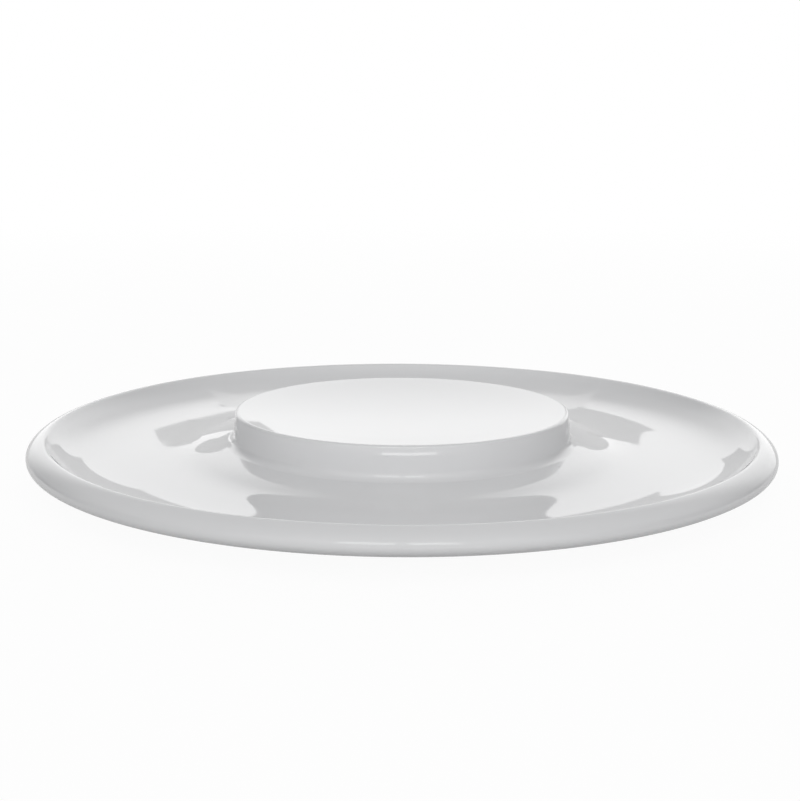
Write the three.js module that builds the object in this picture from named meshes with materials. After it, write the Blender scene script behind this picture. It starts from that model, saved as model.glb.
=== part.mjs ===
// A round porcelain serving plate with a raised, dished centre and a rolled rim, fired as one piece.
// Sizes are in millimetres and angles in degrees. The plate stands on z = 0 with its axis on Z.
import * as THREE from "three";

// The foot ring that the plate stands on
const FOOT_HEIGHT = 4.2;
const FOOT_RADIUS = 114;
const FOOT_WIDTH = 6;
const FOOT_EDGE_RADIUS = 1.2;
const FOOT_ROOT_RADIUS = 2;

// The well: the wide shallow trough between the raised centre and the rim
const WELL_THICKNESS = 5.6;
const WELL_RADIUS = 106;

// The rolled rim: its nose is the widest line of the plate
const PLATE_RADIUS = 160;
const NOSE_RISE = 4.1;
const NOSE_RADIUS = 3.9;
const NOSE_TURN = 40;
const BEVEL_RADIUS = 10.8;
const BEVEL_TURN = 36;
const CREST_RADIUS = 2.2;
const CREST_SLOPE = 52;
const UNDER_NOSE_RADIUS = 2.9;
const UNDER_NOSE_TURN = 55;
const UNDER_RIM_RADIUS = 9;
const UNDER_RIM_TURN = 17;

// The cove that carries the well up to the crest
const COVE_LEAVE = 28;
const COVE_ARRIVE = 10.5;
const UNDER_COVE_LEAVE = 14;
const UNDER_COVE_ARRIVE = 12;

// The raised centre, a low drum with a dished top
const CENTRE_RISE = 17.1;
const CENTRE_RADIUS = 72.8;
const CENTRE_DISH = 3.6;
const CENTRE_EDGE_RADIUS = 1.3;
const SHOULDER_RADIUS = 60;
const SHOULDER_TURN = 4;
const CENTRE_WALL_LEAN = 5;
const CENTRE_WALL_HEIGHT = 5.1;
const CENTRE_THICKNESS = 5.6;
const FILLET_RADIUS = 3.8;
const FILLET_SLOPE = 6;
const BLEND_LEAVE = 16.5;
const BLEND_ARRIVE = 15.8;
const HOLLOW_CORNER = 6;

// Facets
const TURN_SEGMENTS = 64;
const CHORD_ERROR = 0.08;
const LONG_CURVE_STEPS = 10;
const SHORT_CURVE_STEPS = 4;

const GLAZE_WHITE = 0xe9e9ec;

const WELL_HEIGHT = FOOT_HEIGHT + WELL_THICKNESS;

const direction = (heading) =>
  new THREE.Vector2(Math.cos(THREE.MathUtils.degToRad(heading)), Math.sin(THREE.MathUtils.degToRad(heading)));

// An outline in the half-plane of radius and height, walked like a pen that has a place and a heading.
// Heading 0 points away from the axis and 90 points up. A positive turn is anticlockwise.
class Outline {
  constructor(radius, height, heading) {
    this.points = [new THREE.Vector2(radius, height)];
    this.heading = heading;
  }

  get end() {
    return this.points[this.points.length - 1];
  }

  arc(radius, turn) {
    const side = Math.sign(turn);
    const centre = direction(this.heading + 90 * side)
      .multiplyScalar(radius)
      .add(this.end);
    const widestStep = THREE.MathUtils.radToDeg(2 * Math.acos(1 - CHORD_ERROR / radius));
    const steps = Math.ceil(Math.abs(turn) / widestStep);
    for (let i = 1; i <= steps; i++) {
      const heading = this.heading + (turn * i) / steps;
      this.points.push(
        direction(heading - 90 * side)
          .multiplyScalar(radius)
          .add(centre),
      );
    }
    this.heading += turn;
    return this;
  }

  line(length) {
    this.points.push(direction(this.heading).multiplyScalar(length).add(this.end));
    return this;
  }

  // A free curve that leaves along the present heading and arrives along the given one
  curveTo(target, heading, leave, arrive, steps = LONG_CURVE_STEPS) {
    const curve = new THREE.CubicBezierCurve(
      this.end.clone(),
      direction(this.heading).multiplyScalar(leave).add(this.end),
      direction(heading + 180).multiplyScalar(arrive).add(target),
      target.clone(),
    );
    this.points.push(...curve.getSpacedPoints(steps).slice(1));
    this.heading = heading;
    return this;
  }

  // Joins another outline that starts where this one ends
  append(points) {
    const gap = this.end.distanceTo(points[0]);
    this.points.push(...points.slice(gap < CHORD_ERROR ? 1 : 0));
    return this;
  }
}

// The same line moved sideways, to the right of its direction of travel
function offset(points, distance) {
  return points.map((point, i) => {
    const before = points[Math.max(i - 1, 0)];
    const after = points[Math.min(i + 1, points.length - 1)];
    const along = after.clone().sub(before).normalize();
    return new THREE.Vector2(along.y, -along.x).multiplyScalar(distance).add(point);
  });
}

// From the axis over the dish, its rounded edge and the drum's shoulder to the straight wall
function centreTop() {
  const flatRadius = CENTRE_RADIUS - CENTRE_EDGE_RADIUS;
  const dishRadius = (flatRadius ** 2 + CENTRE_DISH ** 2) / (2 * CENTRE_DISH);
  const dishTurn = THREE.MathUtils.radToDeg(Math.asin(flatRadius / dishRadius));
  const bottom = WELL_HEIGHT + CENTRE_RISE - CENTRE_DISH;
  return new Outline(0, bottom, 0)
    .arc(dishRadius, dishTurn)
    .arc(CENTRE_EDGE_RADIUS, -(dishTurn + 90 - CENTRE_WALL_LEAN - SHOULDER_TURN))
    .arc(SHOULDER_RADIUS, -SHOULDER_TURN);
}

// Down the wall of the drum, round the fillet at its foot and out to the lowest line of the well
function blend(start) {
  const lowest = new THREE.Vector2(WELL_RADIUS, WELL_HEIGHT);
  return new Outline(start.x, start.y, CENTRE_WALL_LEAN - 90)
    .line(CENTRE_WALL_HEIGHT)
    .arc(FILLET_RADIUS, 90 - CENTRE_WALL_LEAN - FILLET_SLOPE)
    .curveTo(lowest, 0, BLEND_LEAVE, BLEND_ARRIVE).points;
}

// From the nose up over the bevel and the crest to where the cove meets it
function rimTop() {
  return new Outline(PLATE_RADIUS, WELL_HEIGHT + NOSE_RISE, 90)
    .arc(NOSE_RADIUS, NOSE_TURN)
    .arc(BEVEL_RADIUS, BEVEL_TURN)
    .arc(CREST_RADIUS, 90 - NOSE_TURN - BEVEL_TURN + CREST_SLOPE);
}

// From the nose down and round under the rim
function rimUnderside() {
  return new Outline(PLATE_RADIUS, WELL_HEIGHT + NOSE_RISE, -90)
    .arc(UNDER_NOSE_RADIUS, -UNDER_NOSE_TURN)
    .arc(UNDER_RIM_RADIUS, -UNDER_RIM_TURN);
}

// From the axis under the dish, down the inside of the drum and out to the foot ring's inner side
function hollow(blendPoints) {
  const under = offset(blendPoints, CENTRE_THICKNESS);
  const flatRadius = CENTRE_RADIUS - CENTRE_THICKNESS - HOLLOW_CORNER;
  const ceiling = WELL_HEIGHT + CENTRE_RISE - CENTRE_DISH - CENTRE_THICKNESS;
  const dishRadius = (CENTRE_RADIUS ** 2 + CENTRE_DISH ** 2) / (2 * CENTRE_DISH) + CENTRE_THICKNESS;
  const dishTurn = THREE.MathUtils.radToDeg(Math.asin(flatRadius / dishRadius));
  const line = new Outline(0, ceiling, 0).arc(dishRadius, dishTurn);
  const wall = under.filter((point) => point.y < line.end.y - HOLLOW_CORNER / 2);
  const wallHeading = THREE.MathUtils.radToDeg(wall[1].clone().sub(wall[0]).angle()) - 360;
  return line
    .curveTo(wall[0], wallHeading, HOLLOW_CORNER / 2, HOLLOW_CORNER / 2, SHORT_CURVE_STEPS)
    .append(wall);
}

// The foot ring, from the well's underside down, across and up again
function footRing(height) {
  const inner = FOOT_RADIUS - FOOT_WIDTH;
  return new Outline(inner - FOOT_ROOT_RADIUS, height, 0)
    .arc(FOOT_ROOT_RADIUS, -90)
    .append(
      new Outline(inner, FOOT_EDGE_RADIUS, -90)
        .arc(FOOT_EDGE_RADIUS, 90)
        .append(new Outline(FOOT_RADIUS - FOOT_EDGE_RADIUS, 0, 0).arc(FOOT_EDGE_RADIUS, 90).points).points,
    )
    .append(new Outline(FOOT_RADIUS, height - FOOT_ROOT_RADIUS, 90).arc(FOOT_ROOT_RADIUS, -90).points);
}

// The closed section of the plate, from the axis out along the underside and back over the top
function section() {
  const top = centreTop();
  const blendPoints = blend(top.end);
  const crest = rimTop();
  const underRim = rimUnderside();
  const underside = hollow(blendPoints);
  const foot = footRing(FOOT_HEIGHT);
  const ringToRim = new Outline(foot.end.x, foot.end.y, 0).curveTo(
    underRim.end,
    underRim.heading + 180,
    UNDER_COVE_LEAVE,
    UNDER_COVE_ARRIVE,
    SHORT_CURVE_STEPS,
  );

  top.append(blendPoints);
  top.heading = 0;
  top.curveTo(crest.end, CREST_SLOPE, COVE_LEAVE, COVE_ARRIVE);
  top.append(crest.points.reverse());
  top.append(underRim.points);
  underside.append(foot.points).append(ringToRim.points);
  return underside.append(top.points.reverse()).points;
}

function plateBody() {
  const geometry = new THREE.LatheGeometry(section(), TURN_SEGMENTS);
  geometry.rotateX(Math.PI / 2);
  const material = new THREE.MeshStandardMaterial({ color: GLAZE_WHITE, roughness: 0.12, metalness: 0 });
  const mesh = new THREE.Mesh(geometry, material);
  mesh.name = "plate_body";
  return mesh;
}

const plate = new THREE.Group();
plate.add(plateBody());

export default plate;
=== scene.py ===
import math

import bmesh
import bpy
from mathutils import Matrix, Vector


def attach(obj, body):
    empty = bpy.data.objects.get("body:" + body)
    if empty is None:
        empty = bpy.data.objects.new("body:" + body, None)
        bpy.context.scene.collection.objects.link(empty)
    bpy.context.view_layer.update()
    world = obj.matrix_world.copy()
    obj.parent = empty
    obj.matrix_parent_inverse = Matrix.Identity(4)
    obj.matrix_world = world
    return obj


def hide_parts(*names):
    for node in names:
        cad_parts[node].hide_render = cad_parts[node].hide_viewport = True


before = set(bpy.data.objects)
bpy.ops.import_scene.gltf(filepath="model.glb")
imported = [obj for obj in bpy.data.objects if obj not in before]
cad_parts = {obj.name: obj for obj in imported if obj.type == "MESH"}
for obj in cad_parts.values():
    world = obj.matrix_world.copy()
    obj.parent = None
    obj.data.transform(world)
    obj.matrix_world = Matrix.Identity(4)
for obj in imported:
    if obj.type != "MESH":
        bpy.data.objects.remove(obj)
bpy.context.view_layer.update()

MM = 0.001

# The plate's section, in millimetres and degrees. The foot ring stands on z = 0.
FOOT_HEIGHT = 4.2
FOOT_RADIUS = 114
FOOT_WIDTH = 6
FOOT_EDGE_RADIUS = 1.2
FOOT_ROOT_RADIUS = 2
WELL_THICKNESS = 5.6
WELL_HEIGHT = FOOT_HEIGHT + WELL_THICKNESS
WELL_RADIUS = 106
PLATE_RADIUS = 160
NOSE_RISE = 4.1
NOSE_RADIUS = 3.9
NOSE_TURN = 40
BEVEL_RADIUS = 10.8
BEVEL_TURN = 36
CREST_RADIUS = 2.2
CREST_SLOPE = 52
UNDER_NOSE_RADIUS = 2.9
UNDER_NOSE_TURN = 55
UNDER_RIM_RADIUS = 9
UNDER_RIM_TURN = 17
COVE_LEAVE = 28
COVE_ARRIVE = 10.5
UNDER_COVE_LEAVE = 14
UNDER_COVE_ARRIVE = 12
CENTRE_RISE = 17.1
CENTRE_RADIUS = 72.8
CENTRE_DISH = 3.6
CENTRE_EDGE_RADIUS = 1.3
SHOULDER_RADIUS = 60
SHOULDER_TURN = 4
CENTRE_WALL_LEAN = 5
CENTRE_WALL_HEIGHT = 5.1
CENTRE_THICKNESS = 5.6
FILLET_RADIUS = 3.8
FILLET_SLOPE = 6
BLEND_LEAVE = 16.5
BLEND_ARRIVE = 15.8
HOLLOW_CORNER = 6

# Smoothness of the mesh
TURN_SEGMENTS = 360
ARC_STEP = 2.5
LEAST_ARC_STEPS = 6
CURVE_STEPS = 56
SAME_POINT = 0.02

# The glaze: its colour between two near whites, its roughness, and the size and depth of its waves
GLAZE_COLOURS = (0.765, 0.768, 0.778, 1), (0.785, 0.788, 0.796, 1)
GLAZE_ROUGHNESS = 0.025, 0.045
GLAZE_IOR = 1.5
MOTTLE_SCALE = 26
MOTTLE_DETAIL = 3
WAVE_SCALE = 38
WAVE_DETAIL = 1
WAVE_STRENGTH = 0.04
WAVE_DEPTH = 0.4

# The bare fired clay on the foot ring: its grain, and where it gives way to the glaze
CLAY_COLOURS = (0.62, 0.60, 0.56, 1), (0.74, 0.72, 0.68, 1)
CLAY_ROUGHNESS = 0.75
GRAIN_SCALE = 900
GRAIN_DEPTH = 0.15
BARE_MARGIN = 0.4
BARE_HEIGHT = 0.9
BARE_FADE = 0.2

# The camera, fitted to the photograph. It aims at the rim's crest line over the plate's middle, and is
# then turned by the yaw, pitch and roll.
IMAGE_HEIGHT = 801
SENSOR_WIDTH = 36
FOCAL_PIXELS = 1249.2
CAMERA_DISTANCE = 552.2
CAMERA_ELEVATION = 12.486
AIM_HEIGHT = 19.9
AIM_YAW = 0.1
AIM_PITCH = 1.02
AIM_ROLL = -0.284

# The floor is a sheet of white paper. What a ray from the camera or a mirror sees of it is partly its own
# glow, which keeps the background white, and partly light on paper, which keeps the plate's shadow. Its
# size, and the distances between which the glow takes over, are in metres.
FLOOR_SIZE = 30
FLOOR_GREY = (0.62, 0.62, 0.62, 1)
WHITE = (1, 1, 1, 1)
FLOOR_CAMERA_GLOW = 0.95
FLOOR_MIRROR_GLOW = 0.35
FLOOR_FADE = (0.3, 2)


def link(obj):
    bpy.context.scene.collection.objects.link(obj)


def direction(heading):
    angle = math.radians(heading)
    return Vector((math.cos(angle), math.sin(angle)))


class Outline:
    """A line in the half-plane of radius and height, walked like a pen with a place and a heading."""

    def __init__(self, radius, height, heading):
        self.points = [Vector((radius, height))]
        self.heading = heading

    @property
    def end(self):
        return self.points[-1]

    def arc(self, radius, turn):
        side = 1 if turn > 0 else -1
        centre = self.end + direction(self.heading + 90 * side) * radius
        steps = max(LEAST_ARC_STEPS, math.ceil(abs(turn) / ARC_STEP))
        for i in range(1, steps + 1):
            heading = self.heading + turn * i / steps
            self.points.append(centre + direction(heading - 90 * side) * radius)
        self.heading += turn
        return self

    def line(self, length):
        self.points.append(self.end + direction(self.heading) * length)
        return self

    def curve_to(self, target, heading, leave, arrive):
        """A free curve that leaves along the present heading and arrives along the given one."""
        start = self.end
        end = Vector(target)
        near_start = start + direction(self.heading) * leave
        near_end = end + direction(heading + 180) * arrive
        for i in range(1, CURVE_STEPS + 1):
            t = i / CURVE_STEPS
            s = 1 - t
            self.points.append(
                start * s**3 + near_start * 3 * s**2 * t + near_end * 3 * s * t**2 + end * t**3
            )
        self.heading = heading
        return self

    def append(self, points):
        """Joins another line that starts where this one ends."""
        skip = 1 if (self.end - points[0]).length < SAME_POINT else 0
        self.points += points[skip:]
        return self


def offset(points, distance):
    """The same line moved sideways, to the right of its direction of travel."""
    moved = []
    for i, point in enumerate(points):
        before = points[max(i - 1, 0)]
        after = points[min(i + 1, len(points) - 1)]
        along = (after - before).normalized()
        moved.append(point + Vector((along.y, -along.x)) * distance)
    return moved


def centre_top():
    """From the axis over the dish, its rounded edge and the drum's shoulder to the straight wall."""
    flat_radius = CENTRE_RADIUS - CENTRE_EDGE_RADIUS
    dish_radius = (flat_radius**2 + CENTRE_DISH**2) / (2 * CENTRE_DISH)
    dish_turn = math.degrees(math.asin(flat_radius / dish_radius))
    return (
        Outline(0, WELL_HEIGHT + CENTRE_RISE - CENTRE_DISH, 0)
        .arc(dish_radius, dish_turn)
        .arc(CENTRE_EDGE_RADIUS, -(dish_turn + 90 - CENTRE_WALL_LEAN - SHOULDER_TURN))
        .arc(SHOULDER_RADIUS, -SHOULDER_TURN)
    )


def blend(start):
    """Down the wall of the drum, round the fillet at its foot and out to the lowest line of the well."""
    return (
        Outline(start.x, start.y, CENTRE_WALL_LEAN - 90)
        .line(CENTRE_WALL_HEIGHT)
        .arc(FILLET_RADIUS, 90 - CENTRE_WALL_LEAN - FILLET_SLOPE)
        .curve_to((WELL_RADIUS, WELL_HEIGHT), 0, BLEND_LEAVE, BLEND_ARRIVE)
        .points
    )


def rim_top():
    """From the nose up over the bevel and the crest to where the cove meets it."""
    return (
        Outline(PLATE_RADIUS, WELL_HEIGHT + NOSE_RISE, 90)
        .arc(NOSE_RADIUS, NOSE_TURN)
        .arc(BEVEL_RADIUS, BEVEL_TURN)
        .arc(CREST_RADIUS, 90 - NOSE_TURN - BEVEL_TURN + CREST_SLOPE)
    )


def rim_underside():
    """From the nose down and round under the rim."""
    return (
        Outline(PLATE_RADIUS, WELL_HEIGHT + NOSE_RISE, -90)
        .arc(UNDER_NOSE_RADIUS, -UNDER_NOSE_TURN)
        .arc(UNDER_RIM_RADIUS, -UNDER_RIM_TURN)
    )


def hollow(blend_points):
    """From the axis under the dish, down the inside of the drum and out to the foot ring's inner side."""
    under = offset(blend_points, CENTRE_THICKNESS)
    flat_radius = CENTRE_RADIUS - CENTRE_THICKNESS - HOLLOW_CORNER
    ceiling = WELL_HEIGHT + CENTRE_RISE - CENTRE_DISH - CENTRE_THICKNESS
    dish_radius = (CENTRE_RADIUS**2 + CENTRE_DISH**2) / (2 * CENTRE_DISH) + CENTRE_THICKNESS
    dish_turn = math.degrees(math.asin(flat_radius / dish_radius))
    line = Outline(0, ceiling, 0).arc(dish_radius, dish_turn)
    wall = [point for point in under if point.y < line.end.y - HOLLOW_CORNER / 2]
    along = wall[1] - wall[0]
    wall_heading = math.degrees(math.atan2(along.y, along.x))
    line.curve_to(wall[0], wall_heading, HOLLOW_CORNER / 2, HOLLOW_CORNER / 2)
    return line.append(wall)


def foot_ring(height):
    """From the well's underside down, across the standing face and up again."""
    inner = FOOT_RADIUS - FOOT_WIDTH
    root = Outline(inner - FOOT_ROOT_RADIUS, height, 0).arc(FOOT_ROOT_RADIUS, -90)
    inside = Outline(inner, FOOT_EDGE_RADIUS, -90).arc(FOOT_EDGE_RADIUS, 90)
    outside = Outline(FOOT_RADIUS - FOOT_EDGE_RADIUS, 0, 0).arc(FOOT_EDGE_RADIUS, 90)
    leave = Outline(FOOT_RADIUS, height - FOOT_ROOT_RADIUS, 90).arc(FOOT_ROOT_RADIUS, -90)
    return root.append(inside.points).append(outside.points).append(leave.points)


def section():
    """The closed section, from the axis out along the underside and back over the top."""
    top = centre_top()
    blend_points = blend(top.end)
    crest = rim_top()
    under_rim = rim_underside()
    underside = hollow(blend_points)
    foot = foot_ring(FOOT_HEIGHT)
    ring_to_rim = Outline(foot.end.x, foot.end.y, 0).curve_to(
        under_rim.end, under_rim.heading + 180, UNDER_COVE_LEAVE, UNDER_COVE_ARRIVE
    )
    top.append(blend_points)
    top.heading = 0
    top.curve_to(crest.end, CREST_SLOPE, COVE_LEAVE, COVE_ARRIVE)
    top.append(crest.points[::-1])
    top.append(under_rim.points)
    underside.append(foot.points).append(ring_to_rim.points)
    return underside.append(top.points[::-1]).points


def plate_mesh():
    """The section turned round the axis, with one point where it meets the axis."""
    mesh = bpy.data.meshes.new("plate_body_porcelain")
    bm = bmesh.new()
    turns = [2 * math.pi * k / TURN_SEGMENTS for k in range(TURN_SEGMENTS)]
    rings = []
    for radius, height in section():
        if radius < SAME_POINT:
            rings.append([bm.verts.new((0, 0, height * MM))])
            continue
        rings.append(
            [
                bm.verts.new((radius * math.cos(turn) * MM, radius * math.sin(turn) * MM, height * MM))
                for turn in turns
            ]
        )
    for inner, outer in zip(rings, rings[1:]):
        for k in range(TURN_SEGMENTS):
            after = (k + 1) % TURN_SEGMENTS
            if len(inner) == 1:
                bm.faces.new((inner[0], outer[after], outer[k]))
            elif len(outer) == 1:
                bm.faces.new((inner[k], inner[after], outer[0]))
            else:
                bm.faces.new((inner[k], inner[after], outer[after], outer[k]))
    bmesh.ops.recalc_face_normals(bm, faces=bm.faces)
    for face in bm.faces:
        face.smooth = True
    bm.to_mesh(mesh)
    bm.free()
    plate = bpy.data.objects.new("plate_body_porcelain", mesh)
    link(plate)
    return plate


class Nodes:
    """Short ways to add and join shader nodes."""

    def __init__(self, tree):
        self.tree = tree
        tree.nodes.clear()

    def add(self, kind, **settings):
        node = self.tree.nodes.new(kind)
        for name, value in settings.items():
            setattr(node, name, value)
        return node

    def put(self, value, socket):
        """Joins another node's output to the socket, or sets a constant on it."""
        if isinstance(value, bpy.types.NodeSocket):
            self.tree.links.new(value, socket)
        else:
            socket.default_value = value

    def math(self, operation, *values):
        node = self.add("ShaderNodeMath", operation=operation)
        for value, socket in zip(values, node.inputs):
            self.put(value, socket)
        return node.outputs[0]

    def step(self, value, low, high):
        """Runs smoothly from 0 at low to 1 at high. Low may be the greater number."""
        node = self.add("ShaderNodeMapRange", interpolation_type="SMOOTHSTEP")
        self.put(value, node.inputs["Value"])
        node.inputs["From Min"].default_value = low
        node.inputs["From Max"].default_value = high
        return node.outputs["Result"]

    def mix(self, factor, a, b):
        node = self.add("ShaderNodeMix", data_type="FLOAT")
        self.put(factor, node.inputs[0])
        self.put(a, node.inputs[2])
        self.put(b, node.inputs[3])
        return node.outputs[0]

    def noise(self, place, scale, detail=2):
        node = self.add("ShaderNodeTexNoise")
        node.inputs["Scale"].default_value = scale
        node.inputs["Detail"].default_value = detail
        self.put(place, node.inputs["Vector"])
        return node.outputs["Fac"]

    def mix_colour(self, factor, a, b):
        node = self.add("ShaderNodeMix", data_type="RGBA")
        self.put(factor, node.inputs[0])
        self.put(a, node.inputs[6])
        self.put(b, node.inputs[7])
        return node.outputs[2]


def porcelain():
    """White glazed porcelain, with a faint waviness in the glaze and a bare matt foot ring."""
    material = bpy.data.materials.new("glazed_porcelain")
    material.use_nodes = True
    n = Nodes(material.node_tree)
    place = n.add("ShaderNodeTexCoord").outputs["Object"]

    split = n.add("ShaderNodeSeparateXYZ")
    n.put(place, split.inputs[0])
    x, y, z = split.outputs
    radius = n.math("SQRT", n.math("ADD", n.math("MULTIPLY", x, x), n.math("MULTIPLY", y, y)))
    inner = FOOT_RADIUS - FOOT_WIDTH
    inside = n.step(radius, (inner - BARE_MARGIN) * MM, (inner + BARE_MARGIN) * MM)
    outside = n.step(radius, (FOOT_RADIUS + BARE_MARGIN) * MM, (FOOT_RADIUS - BARE_MARGIN) * MM)
    low = n.step(z, (BARE_HEIGHT + BARE_FADE) * MM, (BARE_HEIGHT - BARE_FADE) * MM)
    bare = n.math("MULTIPLY", n.math("MULTIPLY", inside, outside), low)

    mottle = n.noise(place, MOTTLE_SCALE, MOTTLE_DETAIL)
    grain = n.noise(place, GRAIN_SCALE)
    glaze = n.mix_colour(mottle, *GLAZE_COLOURS)
    clay = n.mix_colour(grain, *CLAY_COLOURS)

    waves = n.add("ShaderNodeBump")
    waves.inputs["Strength"].default_value = WAVE_STRENGTH
    waves.inputs["Distance"].default_value = WAVE_DEPTH * MM
    n.put(n.noise(place, WAVE_SCALE, WAVE_DETAIL), waves.inputs["Height"])
    grit = n.add("ShaderNodeBump")
    grit.inputs["Distance"].default_value = GRAIN_DEPTH * MM
    n.put(bare, grit.inputs["Strength"])
    n.put(grain, grit.inputs["Height"])
    n.put(waves.outputs[0], grit.inputs["Normal"])

    shader = n.add("ShaderNodeBsdfPrincipled")
    n.put(n.mix_colour(bare, glaze, clay), shader.inputs["Base Color"])
    n.put(n.mix(bare, n.mix(mottle, *GLAZE_ROUGHNESS), CLAY_ROUGHNESS), shader.inputs["Roughness"])
    shader.inputs["IOR"].default_value = GLAZE_IOR
    n.put(grit.outputs[0], shader.inputs["Normal"])
    n.put(shader.outputs[0], n.add("ShaderNodeOutputMaterial").inputs["Surface"])
    return material


def seen_directly(n):
    """1 for rays from the camera, a mirror or a glass, 0 for diffuse light."""
    path = n.add("ShaderNodeLightPath")
    mirror = n.math("MAXIMUM", path.outputs["Is Camera Ray"], path.outputs["Is Glossy Ray"])
    return n.math("MAXIMUM", mirror, path.outputs["Is Transmission Ray"])


def floor():
    mesh = bpy.data.meshes.new("floor")
    half = FLOOR_SIZE / 2
    corners = (-half, -half, 0), (half, -half, 0), (half, half, 0), (-half, half, 0)
    mesh.from_pydata(corners, [], [range(len(corners))])
    obj = bpy.data.objects.new("floor", mesh)
    link(obj)
    material = bpy.data.materials.new("floor_paper")
    material.use_nodes = True
    n = Nodes(material.node_tree)
    place = n.add("ShaderNodeTexCoord").outputs["Object"]
    distance = n.add("ShaderNodeVectorMath", operation="LENGTH")
    n.put(place, distance.inputs[0])
    far = n.step(distance.outputs["Value"], *FLOOR_FADE)
    path = n.add("ShaderNodeLightPath")
    camera_glow = n.mix(far, FLOOR_CAMERA_GLOW, 1.0)
    glow_share = n.mix(path.outputs["Is Camera Ray"], FLOOR_MIRROR_GLOW, camera_glow)
    paper = n.add("ShaderNodeBsdfDiffuse")
    n.put(FLOOR_GREY, paper.inputs["Color"])
    white_paper = n.add("ShaderNodeBsdfDiffuse")
    n.put(WHITE, white_paper.inputs["Color"])
    lit = n.add("ShaderNodeMixShader")
    n.put(glow_share, lit.inputs[0])
    n.put(white_paper.outputs[0], lit.inputs[1])
    n.put(n.add("ShaderNodeEmission").outputs[0], lit.inputs[2])
    chosen = n.add("ShaderNodeMixShader")
    n.put(seen_directly(n), chosen.inputs[0])
    n.put(paper.outputs[0], chosen.inputs[1])
    n.put(lit.outputs[0], chosen.inputs[2])
    n.put(chosen.outputs[0], n.add("ShaderNodeOutputMaterial").inputs["Surface"])
    mesh.materials.append(material)


def pane(left, right, bottom, top):
    """The corners of an upright oblong."""
    return (left, bottom), (left, top), (right, top), (right, bottom)


def oval(x, height, half_width, half_height, corners=48):
    """The corners of an upright ellipse about a middle point."""
    angles = [2 * math.pi * k / corners for k in range(corners)]
    return [(x + half_width * math.cos(a), height + half_height * math.sin(a)) for a in angles]


# Cards that show only in the plate's glaze. Each has how far behind the plate's axis it stands, its level,
# and its outline across and up, in millimetres. The far ones make the dark patches in the well beside the
# drum. The near ones stand in the well itself and are painted reflections: they make the small lobes at the
# drum's foot, and a painted highlight makes the bright strip between patch and lobe. The low and back ones
# are painted reflections too. They stand down in the well, in place of the rim's own mirror image there.
# The low window in front makes the bright line along the drum's wall.
CARD_FAR = 900
CARD_BACK = 105
CARD_NEAR = 50
CARD_GAP = 1
CARD_FRONT = -1500
CARD_GREY = 0.8
CARD_LIGHT = 1.3
CARD_WHITE = 1.6
LOW_WINDOW = 4.5
CARDS = {
    "card_right": (
        CARD_FAR,
        CARD_GREY,
        ((160, -20), (160, 235), (285, 237), (277, 210), (300, 60), (295, -20)),
    ),
    "card_left": (
        CARD_FAR,
        CARD_GREY,
        ((-165, -20), (-127, 135), (-140, 175), (-235, 203), (-284, 226), (-315, 172), (-290, -20)),
    ),
    # Painted reflections in the well: dark lobes at the drum's foot and a bright painted highlight strip
    # beside them
    "card_right_near": (CARD_NEAR, CARD_GREY, oval(96, 22, 9, 7.5)),
    "card_left_near": (CARD_NEAR - CARD_GAP, CARD_GREY, oval(-97, 27.5, 10, 6.5)),
    "card_left_strip": (
        CARD_NEAR,
        CARD_WHITE,
        ((-82, 19), (-99, 15), (-110, 23), (-101, 25), (-88, 21)),
    ),
    # Painted reflections standing in the well in place of the rim's own mirror image
    "card_right_low": (
        CARD_NEAR,
        CARD_GREY,
        ((80, 9), (80, 18), (92, 14), (104, 14), (104, 9)),
    ),
    "card_left_low": (
        CARD_NEAR,
        CARD_GREY,
        ((-80, 9), (-80, 19), (-99, 15), (-104, 15), (-104, 9)),
    ),
    "card_right_back": (CARD_BACK, CARD_LIGHT, pane(60, 104, 9, 16)),
    "card_left_back": (CARD_BACK, CARD_LIGHT, pane(-104, -60, 9, 16)),
    "low_window": (CARD_FRONT, LOW_WINDOW, pane(-340, 600, 0, 56)),
}

# The two panes of the front softbox, given as the cards are. They also light the plate.
SOFTBOX_LEVEL = 3.4
SOFTBOX_PANES = {
    "softbox_left": (CARD_FRONT, SOFTBOX_LEVEL, pane(-510, -52, 800, 1790)),
    "softbox_right": (CARD_FRONT, SOFTBOX_LEVEL, pane(52, 460, 800, 1790)),
}


def card(name, distance, level, outline, lights_plate):
    mesh = bpy.data.meshes.new(name)
    corners = [(x * MM, distance * MM, z * MM) for x, z in outline]
    mesh.from_pydata(corners, [], [range(len(corners))])
    obj = bpy.data.objects.new(name, mesh)
    link(obj)
    material = bpy.data.materials.new(name)
    material.use_nodes = True
    n = Nodes(material.node_tree)
    glow = n.add("ShaderNodeEmission")
    glow.inputs["Strength"].default_value = level
    n.put(glow.outputs[0], n.add("ShaderNodeOutputMaterial").inputs["Surface"])
    mesh.materials.append(material)
    obj.visible_camera = False
    obj.visible_transmission = False
    obj.visible_diffuse = lights_plate
    obj.visible_shadow = lights_plate


# The studio's light: an even base, a bright front, a bright back, a shade to either side and a soft glow in
# each corner behind the plate. Each band has its level and the angles, in degrees, where it starts and is
# full. A turn of 0 is towards the camera and 180 is behind the plate.
SKY_BASE = 0.34
FRONT_LIGHT = 0.68
FRONT_TURN = 67, 40
FRONT_ELEVATION = 90, 50
BACK_LIGHT = 0.34
BACK_TURN = 132, 162
BACK_ELEVATION = 90, 40
SIDE_SHADE = -0.34
SIDE_TURN_FRONT = 66, 84
SIDE_TURN_BACK = 140, 122
SIDE_ELEVATION = 38, 20

# Each glow has the azimuth and elevation of its middle, the distance from it where it starts and is full,
# and its level
GLOWS = (
    (154, 14, (36, 10), 1.0),
    (-162, 12, (30, 8), 0.9),
)


def towards(azimuth, elevation):
    """A direction. Azimuth 0 is towards the camera and 90 to the right."""
    azimuth, elevation = math.radians(azimuth), math.radians(elevation)
    level = math.cos(elevation)
    return Vector((level * math.sin(azimuth), -level * math.cos(azimuth), math.sin(elevation)))


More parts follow.
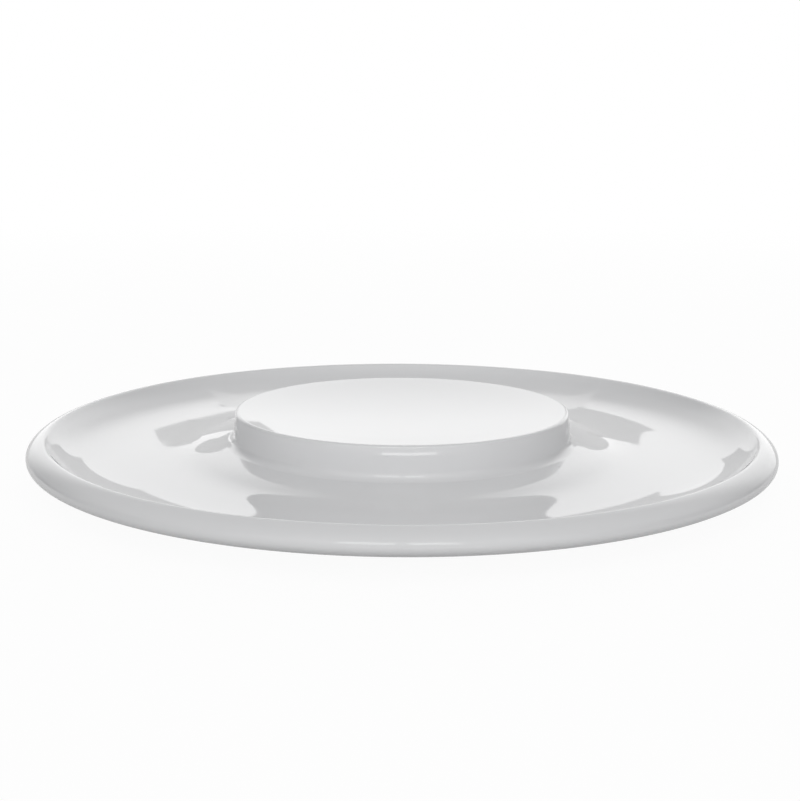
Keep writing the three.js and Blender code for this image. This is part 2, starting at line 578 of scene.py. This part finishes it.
def studio_world():
    world = bpy.data.worlds.new("studio")
    bpy.context.scene.world = world
    world.use_nodes = True
    n = Nodes(world.node_tree)
    ray = n.add("ShaderNodeTexCoord").outputs["Generated"]
    split = n.add("ShaderNodeSeparateXYZ")
    n.put(ray, split.inputs[0])
    x, y, z = split.outputs
    degrees = math.degrees(1)
    elevation = n.math("MULTIPLY", n.math("ARCSINE", z), degrees)
    ahead = n.math("MULTIPLY", y, -1.0)
    turn = n.math("MULTIPLY", n.math("ARCTAN2", n.math("ABSOLUTE", x), ahead), degrees)

    front = n.math("MULTIPLY", n.step(turn, *FRONT_TURN), n.step(elevation, *FRONT_ELEVATION))
    level = n.math("MULTIPLY_ADD", front, FRONT_LIGHT, SKY_BASE)
    back = n.math("MULTIPLY", n.step(turn, *BACK_TURN), n.step(elevation, *BACK_ELEVATION))
    level = n.math("MULTIPLY_ADD", back, BACK_LIGHT, level)
    sides = n.math("MULTIPLY", n.step(turn, *SIDE_TURN_FRONT), n.step(turn, *SIDE_TURN_BACK))
    sides = n.math("MULTIPLY", sides, n.step(elevation, *SIDE_ELEVATION))
    level = n.math("MULTIPLY_ADD", sides, SIDE_SHADE, level)
    for azimuth, height, reach, glow in GLOWS:
        dot = n.add("ShaderNodeVectorMath", operation="DOT_PRODUCT")
        n.put(ray, dot.inputs[0])
        n.put(towards(azimuth, height), dot.inputs[1])
        angle = n.math("MULTIPLY", n.math("ARCCOSINE", dot.outputs["Value"]), degrees)
        level = n.math("MULTIPLY_ADD", n.step(angle, *reach), glow, level)

    path = n.add("ShaderNodeLightPath")
    background = n.add("ShaderNodeBackground")
    n.put(n.mix(path.outputs["Is Camera Ray"], level, 1.0), background.inputs["Color"])
    n.put(background.outputs[0], n.add("ShaderNodeOutputWorld").inputs[0])


def camera():
    elevation = math.radians(CAMERA_ELEVATION)
    place = Vector((0, -math.cos(elevation), math.sin(elevation))) * CAMERA_DISTANCE * MM
    ahead = -place.normalized()
    right = Vector((1, 0, 0))
    up = right.cross(ahead)
    turn = Matrix.Rotation(math.radians(AIM_YAW), 3, up)
    ahead, right = turn @ ahead, turn @ right
    turn = Matrix.Rotation(math.radians(AIM_PITCH), 3, right)
    ahead, up = turn @ ahead, turn @ up
    turn = Matrix.Rotation(math.radians(AIM_ROLL), 3, ahead)
    right, up = turn @ right, turn @ up
    data = bpy.data.cameras.new("camera")
    data.sensor_width = SENSOR_WIDTH
    data.lens = FOCAL_PIXELS / IMAGE_HEIGHT * SENSOR_WIDTH
    obj = bpy.data.objects.new("camera", data)
    link(obj)
    axes = Matrix((right, up, -ahead)).transposed().to_4x4()
    obj.matrix_world = Matrix.Translation(place + Vector((0, 0, AIM_HEIGHT * MM))) @ axes
    bpy.context.scene.camera = obj


plate = plate_mesh()
plate.data.materials.append(porcelain())
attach(plate, "root")
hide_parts("plate_body")

floor()
for name, values in CARDS.items():
    card(name, *values, lights_plate=False)
for name, values in SOFTBOX_PANES.items():
    card(name, *values, lights_plate=True)
studio_world()
camera()
bpy.context.scene.view_settings.view_transform = "Standard"
